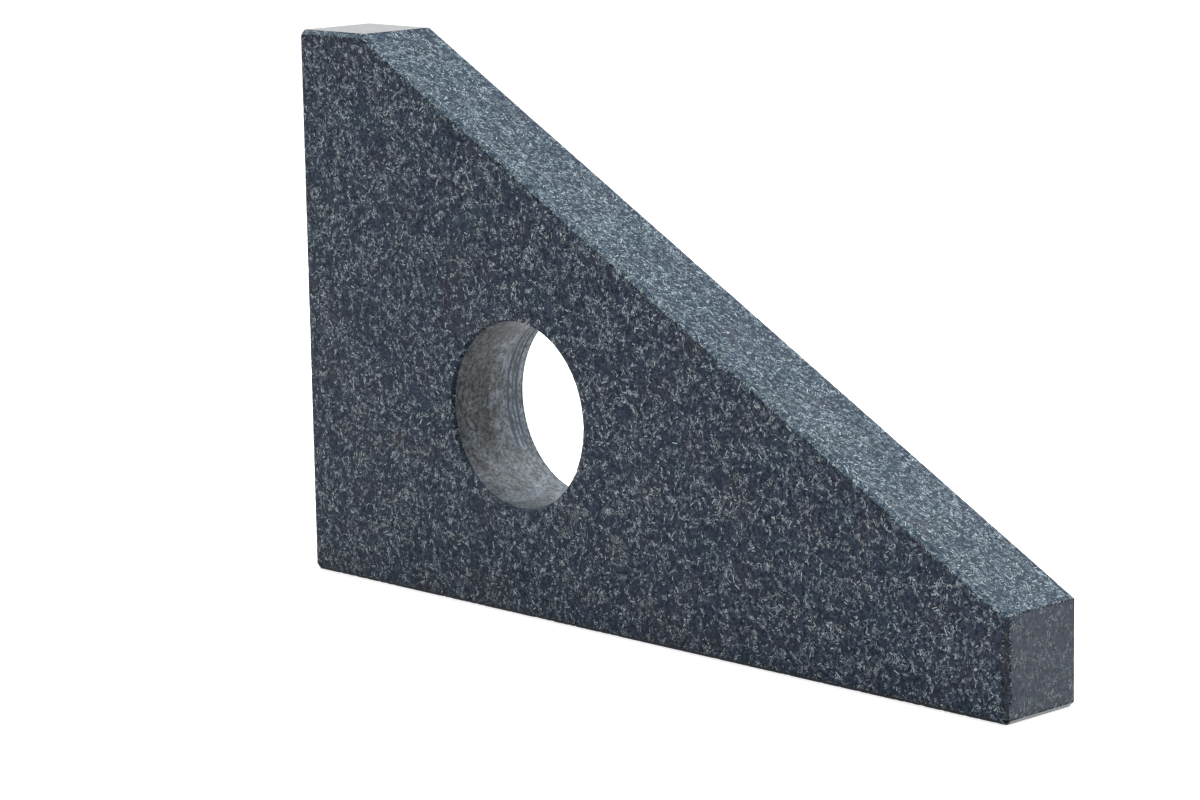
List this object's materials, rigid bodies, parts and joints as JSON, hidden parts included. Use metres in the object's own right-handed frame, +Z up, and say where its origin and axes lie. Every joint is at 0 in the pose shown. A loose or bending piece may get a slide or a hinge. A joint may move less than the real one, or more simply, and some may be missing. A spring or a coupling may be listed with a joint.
{
  "type": "granite angle plate",
  "caption": "Black granite angle plate: a right-angled triangular slab with blunt tips, chamfered edges and a round lifting hole, used to check squareness.",
  "frame": {"origin": "middle of the base, on the surface that the plate stands on", "axes": "+X along the base from the upright face to the toe, +Y through the thickness, +Z up"},
  "size_m": [0.25, 0.026, 0.15],
  "materials": {
    "granite": "lapped dark blue-grey stone with fine pale flecks"
  },
  "bodies": {
    "root": {"angle_plate": "granite"}
  },
  "joints": []
}
